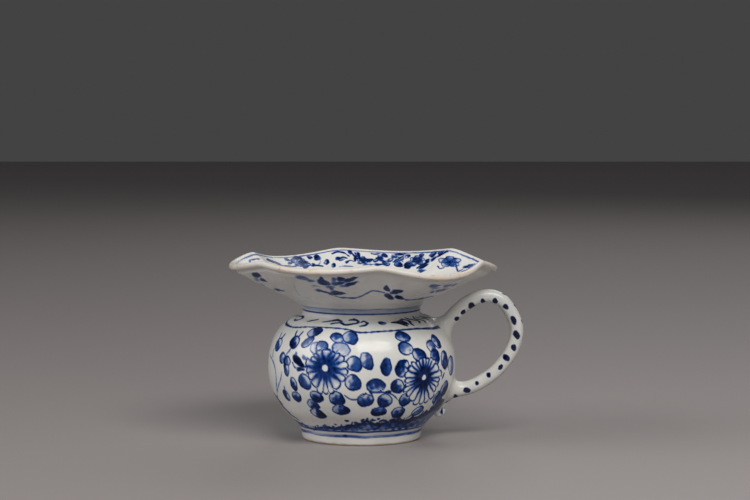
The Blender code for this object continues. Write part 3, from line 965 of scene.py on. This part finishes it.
# Touches on the inside of the funnel, in the same form.
INNER_BLOTS = [
    (-141.3, 57.8, 1.5, 0.5, -20, 0.97), (-147.4, 58.4, 2.2, 0.9, -6, 0.99),
    (-140.6, 54.5, 1.2, 0.5, 0, 0.95), (-143.1, 52.3, 1, 0.5, 0, 0.7),
    (-152.5, 50.8, 1.1, 0.8, 0, 0.98), (-167.1, 51.7, 1.5, 0.6, 12, 0.9),
    (-171.7, 49.7, 1, 0.5, 30, 0.92), (-173.9, 56, 0.9, 1.2, 35, 0.98),
    (-178.3, 54.9, 0.8, 1.5, 10, 0.97), (-176.2, 51.9, 0.7, 1, 0, 0.9),
    (176, 52.5, 1.7, 1, 0, 0.97), (177.8, 49.1, 1.5, 0.5, 0, 0.6), (174.7, 49.5, 1.2, 0.5, 0, 0.5),
    (170.2, 49.8, 2.2, 0.5, 0, 0.95), (170.1, 53.8, 1.7, 0.7, -10, 0.85),
    (168.7, 57, 1.7, 0.8, -25, 0.92), (168.2, 52.3, 1, 0.6, 0, 0.8),
    (161.3, 58.7, 2.7, 0.6, 4, 0.96), (163.7, 56.3, 1.5, 0.7, -20, 0.75),
    (143.1, 52.4, 1.2, 0.7, 35, 0.95), (142, 48.2, 2.6, 0.6, 24, 0.95),
    (140.4, 45, 1.9, 0.6, 8, 0.7), (139.2, 52.9, 1.6, 0.6, 32, 0.96),
    (112.8, 53.8, 1.3, 0.5, 5, 0.97),
]
# Leaves on the inside of the funnel: as the blots, but with the light side and two tones.
INNER_LEAVES = [
    (-148.7, 54.3, 1.4, 0.9, -6, 90, 0.9, 0.4), (-144.2, 56, 1.9, 1.1, -20, 0, 0.45, 0.12),
    (-145.8, 51.8, 1, 0.6, 0, 90, 0.5, 0.1), (-149.3, 51.5, 1.4, 0.8, 10, 90, 0.6, 0.1),
    (-156.9, 55.5, 1.8, 1.3, -10, -20, 0.98, 0.6), (-160.4, 51.1, 1.4, 1.1, 45, 180, 0.8, 0.15),
    (-163.3, 47.9, 1.1, 0.9, 40, 200, 0.9, 0.2), (-169, 51.2, 1.8, 0.7, 12, 0, 0.3, 0.05),
    (-178.8, 49.8, 1.2, 0.7, 0, 90, 0.4, 0.1), (172.6, 52.6, 1.3, 0.8, 10, 90, 0.6, 0.12),
    (167, 51.4, 1.5, 0.9, 20, 90, 0.6, 0.12), (165.1, 53.8, 1.3, 0.8, 20, 90, 0.5, 0.06),
    (161.7, 53.5, 1.3, 0.7, 20, 90, 0.5, 0.1), (159.7, 54.8, 1.5, 1, 20, 90, 0.4, 0.08),
    (159.4, 50.4, 2.2, 1.3, -10, 120, 0.96, 0.45), (153, 50.4, 2.9, 1.6, 32, 60, 0.98, 0.3),
    (142.5, 56.4, 2, 1, 30, 120, 0.8, 0.3), (137.5, 56.6, 1.8, 0.6, 22, 90, 0.6, 0.2),
    (111.2, 56, 2.1, 0.7, 12, 60, 0.4, 0.06), (171, 55.9, 1.3, 0.7, -10, 90, 0.6, 0.08),
    (165.5, 50.2, 1.2, 0.7, 10, 90, 0.7, 0.1), (157, 57, 1.5, 0.8, 20, 200, 0.7, 0.1),
    (149.5, 56.8, 1.4, 0.8, 30, 90, 0.85, 0.2), (150.5, 49.8, 1.5, 0.8, 10, 90, 0.8, 0.15),
    (-153.5, 57.2, 1.3, 0.8, -20, 90, 0.85, 0.2), (-147, 50.2, 1.3, 0.7, 10, 90, 0.8, 0.2),
]
INNER_STROKES = [
    ([(-105, 54.7), (-107.4, 55.5), (-110.6, 54.7), (-112.8, 54.6), (-114.9, 54)], 0.5, 0.8),
    ([(-125.5, 55.6), (-127.6, 54.6), (-130.2, 53.7), (-132.2, 51.7)], 0.8, 0.8),
    ([(-132.5, 51.5), (-136.5, 51.8), (-138.9, 51.4), (-141.8, 51.5)], 0.6, 0.75),
    ([(-157.6, 53.8), (-157, 52), (-155.2, 50.3)], 0.4, 0.4),
    ([(-153.1, 50.4), (-155.2, 49.7), (-157.2, 48.9)], 0.6, 0.85),
    ([(-164.6, 55.3), (-166.8, 55.7), (-169.3, 55.4), (-171.2, 54.7), (-173.1, 53.3)], 0.6, 0.85),
    ([(-168, 51.8), (-169.8, 52.3), (-171.8, 51.8)], 0.45, 0.8),
    ([(-170.8, 48.7), (-173.3, 50.6), (-175.5, 50.3)], 0.45, 0.8),
    ([(-166.4, 46.5), (-169.8, 46.7), (-174.6, 46.7)], 0.5, 0.55),
    ([(-174.4, 56.1), (-175.6, 54.4), (-177, 52.7), (-177.8, 52.2)], 0.6, 0.9),
    ([(-176.4, 56.2), (-176.9, 54.6), (-177.3, 52.7)], 0.6, 0.6),
    ([(-178.4, 54.3), (-178.9, 52)], 0.8, 0.9),
    ([(175.4, 57.5), (173.7, 57.3), (171.3, 58.1)], 0.5, 0.9),
    ([(172.6, 54.5), (171.4, 55), (169.2, 54.7)], 0.7, 0.92),
    ([(159.2, 57.6), (160.9, 55.2), (163.2, 52.2)], 0.5, 0.8),
    ([(163.1, 57.1), (160.6, 55.6), (157.6, 52.3)], 0.4, 0.6),
    ([(140.6, 51), (143.8, 50), (145.8, 47.3)], 0.6, 0.96),
    ([(138.2, 53.6), (136, 55), (132.6, 56.4)], 0.6, 0.93),
    ([(136.1, 54.4), (134.4, 56.1), (133.5, 57)], 0.4, 0.8),
    ([(120.4, 52.2), (117.4, 50.9), (113.3, 49.8), (112.4, 51), (113.1, 53.1)], 0.45, 0.7),
    ([(110, 50.4), (108.4, 52.6), (109.4, 55.4), (108, 57)], 0.5, 0.7),
    ([(131, 48.1), (127.6, 47.2), (125.5, 48.3)], 0.4, 0.9),
]
# Small flowers of five petals there: turn, radius, half width, half height, tone of the petals.
INNER_FLOWERS = [
    (126, 52.2, 5.4, 2.7, 0.62), (149.8, 53.2, 3.5, 2.3, 0.9), (179.5, 51.8, 2.9, 1.8, 0.8),
    (-147.5, 54, 2.8, 1.7, 0.85),
]


def level_view(about):
    """Right and up as they look from this turn of the pot, a little above its mouth."""
    turn = math.radians(about)
    lift = math.radians(VIEW_HEIGHT)
    right = np.array([math.cos(turn), math.sin(turn), 0.0])
    away = np.array([-math.sin(turn), math.cos(turn), 0.0])
    return right, math.sin(lift) * away + math.cos(lift) * np.array([0.0, 0.0, 1.0])


LIP_LINE = 1.1  # distance down the inside from the lip to the line that follows it
FUNNEL_RING = 63.0  # height of the line round the bottom of the underside


def paint_mouth(mouth, lip_start, lip_end):
    paint = Painting(mouth, 21, 0.36)
    last = len(mouth.points) - 1

    def seen(about, turn, radius, inside):
        """A place on the funnel, with directions as they look from its front."""
        first, end = (0, lip_start) if inside else (lip_end, last)
        spot = about + turn
        point, _, _, normal = mouth.place(spot, mouth.row_at_radius(spot, radius, first, end))
        return point, *level_view(about), normal

    def route(about, places, inside):
        turns = np.degrees(np.unwrap(np.radians([turn for turn, _ in places])))
        line = smooth_line(np.column_stack([turns, [radius for _, radius in places]]), 8)
        return np.array([seen(about, *spot, inside)[0] for spot in line])

    for about in (0, 180):
        view = np.array(level_view(about)).T
        for turn, radius, length, width, tilt, light, dark, pale in INNER_LEAVES:
            spot = seen(about, turn, radius, True)
            paint.leaf(spot, length, width, tilt, light, 1.1 * dark, pale, 0.45, 1.15)
        for turn, radius, across, along, dark in INNER_FLOWERS:
            centre, right, up, normal = seen(about, turn, radius, True)
            for angle in range(90, 450, 72):
                aside = 0.58 * across * math.cos(math.radians(angle))
                above = 0.58 * along * math.sin(math.radians(angle))
                petal = (centre + aside * right + above * up, right, up, normal)
                paint.leaf(petal, 0.42 * across, 0.44 * along, 0, angle, dark, 0.1, 0.45, 1.2)
            paint.blot((centre, right, up, normal), 0.2 * across, 0.26 * along, 0, 0.95)
        for blots, strokes, inside in (
            (UNDER_BLOTS, UNDER_STROKES, False),
            (INNER_BLOTS, INNER_STROKES, True),
        ):
            for turn, radius, length, width, tilt, tone in blots:
                paint.blot(seen(about, turn, radius, inside), length, width, tilt, 1.02 * tone)
            for places, widest, tone in strokes:
                points = route(about, places, inside)
                widths = tapered(len(points), widest, 0.8, 0.7)
                paint.stroke(points, widths, 1.3 * tone, view, 1 if inside else -1)
    paint_mouth_lines(mouth, paint, lip_start, lip_end)
    return paint.cobalt


def paint_mouth_lines(mouth, paint, lip_start, lip_end):
    """The line that follows the lip inside, and the one round the bottom of the underside."""
    rows, columns = mouth.points.shape[:2]
    row = np.repeat(np.arange(rows), columns)
    below_lip = PAINTED_STEP * (lip_start - 1 - row)
    shade = 0.55 + 0.3 * ripple(paint.points, 42.0, 51)
    line = faded(0.42 - np.abs(below_lip - LIP_LINE - 0.1 * paint.flow), 0.5)
    paint.deepen(np.clip(shade, 0.15, 0.85) * line)
    heights = paint.points[:, 2] + 0.12 * ripple(paint.points, 14.0, 31)
    outside = row > lip_end
    upper = faded(0.22 - np.abs(heights - FUNNEL_RING), 0.5) * outside
    band = faded(FUNNEL_RING - 0.1 - heights, 0.4) * outside
    paint.deepen(np.maximum(0.5 * upper, 0.15 * band))


def lip_frit(mouth, lip_start, lip_end):
    """How thin the glaze is: the lip, most of all at its outermost tips."""
    rows, columns = mouth.points.shape[:2]
    row = np.arange(rows)[:, None]
    radii = np.hypot(mouth.points[..., 0], mouth.points[..., 1])
    middle = (lip_start + lip_end) / 2 + 2
    on_lip = smoothstep(-np.abs(row - middle), -14.0, -8.0)
    outermost = radii[(lip_start + lip_end) // 2][None, :]
    at_tips = smoothstep(outermost, 59.5, 63.0)
    return np.repeat(on_lip, columns, axis=1) * (0.3 + 0.7 * at_tips)


def make_mouth():
    mouth, lip_start, lip_end = mouth_surface()
    attributes = {
        "cobalt": paint_mouth(mouth, lip_start, lip_end),
        "fritted": lip_frit(mouth, lip_start, lip_end),
    }
    piece = mesh_object("pot_mouth", mouth, attributes, ())
    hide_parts("mouth_flange")
    return piece


# ---------------------------------------------------------------- the handle


def swept(line, breadth, spacing, columns, squareness):
    """A surface along a line of reach, height and thickness: rows along it, columns round it."""
    rows = resampled(smooth_line(line, 24), spacing)
    outward = leftward(rows[:, :2])
    turns = np.arange(0.0, 360.0, 360.0 / columns)
    angle = np.radians(turns)
    cosine = np.sign(np.cos(angle)) * np.abs(np.cos(angle)) ** squareness
    sine = np.sign(np.sin(angle)) * np.abs(np.sin(angle)) ** squareness
    half = rows[:, 2:3] / 2
    points = np.stack(
        [
            rows[:, 0:1] + half * cosine * outward[:, 0:1],
            half * breadth * sine,
            rows[:, 1:2] + half * cosine * outward[:, 1:2],
        ],
        axis=2,
    )
    return points, rows, turns


def distance_to_body(points, outside):
    """How far the points are outside the body's surface, and the way straight out of it."""
    radius = np.hypot(points[:, 0], points[:, 1])
    gaps = np.hypot(radius[:, None] - outside[None, :, 0], points[:, 2:3] - outside[None, :, 1])
    limit = np.interp(-points[:, 2], -outside[:, 1], outside[:, 0])
    gap = gaps.min(axis=1) * np.where(radius > limit, 1, -1)
    along = unit(np.gradient(outside, axis=0)[gaps.argmin(axis=1)])
    level = points[:, :2] / radius[:, None] * -along[:, 1:2]
    return gap, np.column_stack([level, along[:, 0]])


# Spots on the handle's flanks: reach, height, half length, half width, tilt.
HANDLE_DOTS = [
    (44.6, 56.4, 1.1, 0.95, 40), (47.6, 59.5, 1.1, 1, 40), (51.4, 62.4, 1.65, 1.35, 10),
    (56.6, 64.7, 0.85, 0.8, 0), (62.4, 64.6, 1.3, 1.05, -60), (67.3, 61.9, 1.35, 0.95, -45),
    (71, 55.6, 2, 1.15, -62), (72.4, 48.8, 2.05, 1.3, -72), (71.2, 42.7, 1.55, 1.1, -80),
    (67.7, 37.8, 1.7, 1.25, -50), (65, 33.6, 1.25, 0.95, 70), (59.6, 29.9, 1.05, 0.85, -50),
    (54.1, 26.1, 0.85, 0.8, 0), (49.3, 22.7, 1.45, 1.2, 0), (44, 19.9, 0.95, 0.8, 0),
]
# Slanting ticks over the handle's spine, as shares of the way along it.
SPINE_TICKS = [0.36, 0.42, 0.49, 0.72]
SPINE_LINE = (0.78, 0.93)  # the line that ends them, near the lower joint
TAIL_DOTS = [(37.6, 12.8, 1.3, 0.34, 84), (40.2, 18.2, 1.7, 0.7, 40)]


def paint_flanks(paint, surface, rows, dots, tone, drawn):
    """Spots on both flanks of a surface along a line, in the form of the handle's dots."""
    quarter = len(surface.turns) // 4
    for reach, height, length, width, tilt in dots:
        row = int(np.argmin(np.hypot(rows[:, 0] - reach, rows[:, 1] - height)))
        for column, side in ((quarter, 1.0), (3 * quarter, -1.0)):
            centre = [reach, surface.points[row, column, 1], height]
            place = np.array([centre, [1, 0, 0], [0, 0, 1], [0, side, 0]])
            paint.blot(place, length, width, tilt, tone, drawn)


def paint_handle(surface, rows):
    paint = Painting(surface, 61, 0.4)
    paint_flanks(paint, surface, rows, HANDLE_DOTS, 1.25, 0.1)
    for share in SPINE_TICKS:
        row = int(share * (len(rows) - 1))
        points = np.array([surface.points[row + 2 * step, 3 * step] for step in range(-2, 6)])
        paint.stroke(points, np.full(len(points), 0.9), 1.3)
    first, last = (int(share * (len(rows) - 1)) for share in SPINE_LINE)
    points = surface.points[first:last:2, 3]
    paint.stroke(points, tapered(len(points), 1.0, 0.4, 0.6), 1.3)
    return paint.cobalt


def filleted(points, rows, outside):
    """The handle's points, spread over the body's wall where they come close to it."""
    flat = points.reshape(-1, 3)
    centres = np.stack([rows[:, 0], 0 * rows[:, 0], rows[:, 1]], axis=1)
    centres = np.repeat(centres, points.shape[1], axis=0)
    near = distance_to_body(flat, outside)[0] < HANDLE_FILLET
    wall = resampled(outside, 0.05)
    gap, straight_out = distance_to_body(flat[near], wall)
    left = HANDLE_FILLET - np.clip(gap, 0, HANDLE_FILLET)
    spread = HANDLE_FILLET - np.sqrt(HANDLE_FILLET**2 - left**2)
    spread = spread + SKIRT_SLOPE * np.clip(-gap, 0, SKIRT_DEPTH)
    away = unit(flat[near] - centres[near])
    away -= np.maximum((away * straight_out).sum(axis=1), 0)[:, None] * straight_out
    moved = flat[near] + away * spread[:, None]
    lifted, straight_out = distance_to_body(moved, wall)
    flat[near] = moved - (lifted - gap)[:, None] * straight_out
    return flat.reshape(points.shape)


def make_handle(outside):
    points, rows, turns = swept(HANDLE_LINE, HANDLE_BREADTH, 0.32, 96, 0.86)
    surface = Surface(filleted(points, rows, outside), turns)
    cobalt = paint_handle(surface, rows)
    piece = mesh_object("pot_handle", surface, {"cobalt": cobalt}, ("first", "last"))
    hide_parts("handle", "upper_handle_slip", "lower_handle_slip")
    return piece


def make_tail():
    points, rows, turns = swept(TAIL_LINE, TAIL_BREADTH, 0.3, 40, 0.8)
    surface = Surface(points, turns)
    paint = Painting(surface, 71)
    paint_flanks(paint, surface, rows, TAIL_DOTS, 1.2, 0.35)
    piece = mesh_object("pot_handle_tail", surface, {"cobalt": paint.cobalt}, ("first", "last"))
    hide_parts("handle_tail_curl")
    return piece


# ---------------------------------------------------------------- the room


WARM = (1.0, 0.975, 0.945)
NEUTRAL = (1.0, 1.0, 1.0)
# Soft lights aimed at the pot: name, place, width and height, watts, colour.
LIGHTS = [
    ("key", (0.28, -0.86, 0.94), (0.85, 0.45), 11.5, WARM),
    ("front", (0.35, -1.7, 0.75), (1.0, 0.8), 3.4, WARM),
    ("left", (-1.25, -0.35, 0.75), (0.9, 0.8), 9.0, NEUTRAL),
    ("back", (0.5, 1.2, 1.0), (1.2, 0.8), 4.0, NEUTRAL),
]
LIGHT_AIM = (AXIS_X, 0.0, 0.05)
FLOOR_HALF = 3.0
FLOOR_COLOUR = (0.31, 0.282, 0.278, 1.0)
CAMERA_PLACE = (AXIS_X + 0.0063, -1.2, 0.1815)
CAMERA_AIM = (AXIS_X + 0.0063, 0.0, 0.0883)


def stood(name, data, place, aim):
    """An object at a place, looking at a point."""
    made = bpy.data.objects.new(name, data)
    made.location = place
    made.rotation_euler = (Vector(aim) - Vector(place)).to_track_quat("-Z", "Y").to_euler()
    bpy.context.scene.collection.objects.link(made)
    return made


def make_floor():
    mesh = bpy.data.meshes.new("floor")
    signs = ((-1, -1), (1, -1), (1, 1), (-1, 1))
    corners = [(FLOOR_HALF * x, FLOOR_HALF * y, 0) for x, y in signs]
    mesh.from_pydata(corners, [], [(0, 1, 2, 3)])
    floor = bpy.data.objects.new("floor", mesh)
    bpy.context.scene.collection.objects.link(floor)
    paper = bpy.data.materials.new("floor_paper")
    paper.use_nodes = True
    shader = paper.node_tree.nodes["Principled BSDF"]
    shader.inputs["Base Color"].default_value = FLOOR_COLOUR
    shader.inputs["Roughness"].default_value = 0.55
    mesh.materials.append(paper)


def make_room():
    """The floor, a dim room, the lights and the camera."""
    make_floor()
    world = bpy.data.worlds.new("studio")
    world.use_nodes = True
    world.node_tree.nodes["Background"].inputs["Color"].default_value = (0.80, 0.80, 0.82, 1.0)
    world.node_tree.nodes["Background"].inputs["Strength"].default_value = 0.07
    bpy.context.scene.world = world
    bpy.context.scene.view_settings.view_transform = "Standard"
    for name, place, size, watts, colour in LIGHTS:
        lamp = bpy.data.lights.new(name, "AREA")
        lamp.shape = "RECTANGLE"
        lamp.size, lamp.size_y = size
        lamp.energy = watts
        lamp.color = colour
        stood(name, lamp, place, LIGHT_AIM)
    camera = stood("camera", bpy.data.cameras.new("camera"), CAMERA_PLACE, CAMERA_AIM)
    camera.data.lens = 123.6
    camera.data.sensor_width = 36.0
    bpy.context.scene.camera = camera


# ---------------------------------------------------------------- the pot

body_glaze = glaze_material("body_glaze", WHITE, GREENER, 0.13, 0.22)
mouth_glaze = glaze_material("mouth_glaze", WHITE, GREENER, 0.22, 0.2)
foot_glaze = glaze_material("foot_glaze", FOOT_WHITE, FOOT_GREENER, 0.2, 0.3)
# The handle's and tail's glaze is the body's glaze made greyer: painted shade, not a different
# glaze.
handle_glaze = glaze_material("handle_glaze", HANDLE_WHITE_PAINTED_SHADE, HANDLE_GREENER_PAINTED_SHADE, 0.13, 0.4)

pot_body, body_outside = make_body()
finishes = [
    (pot_body, body_glaze, "body_glaze"),
    (make_inside(body_outside), body_glaze, "body_glaze"),
    (make_foot(), foot_glaze, "foot_glaze"),
    (make_mouth(), mouth_glaze, "mouth_glaze"),
    (make_handle(body_outside), handle_glaze, "handle_glaze"),
    (make_tail(), handle_glaze, "handle_glaze"),
]
for piece, glaze, slot in finishes:
    piece.data.materials.append(glaze)
    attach(piece, "root")
make_room()
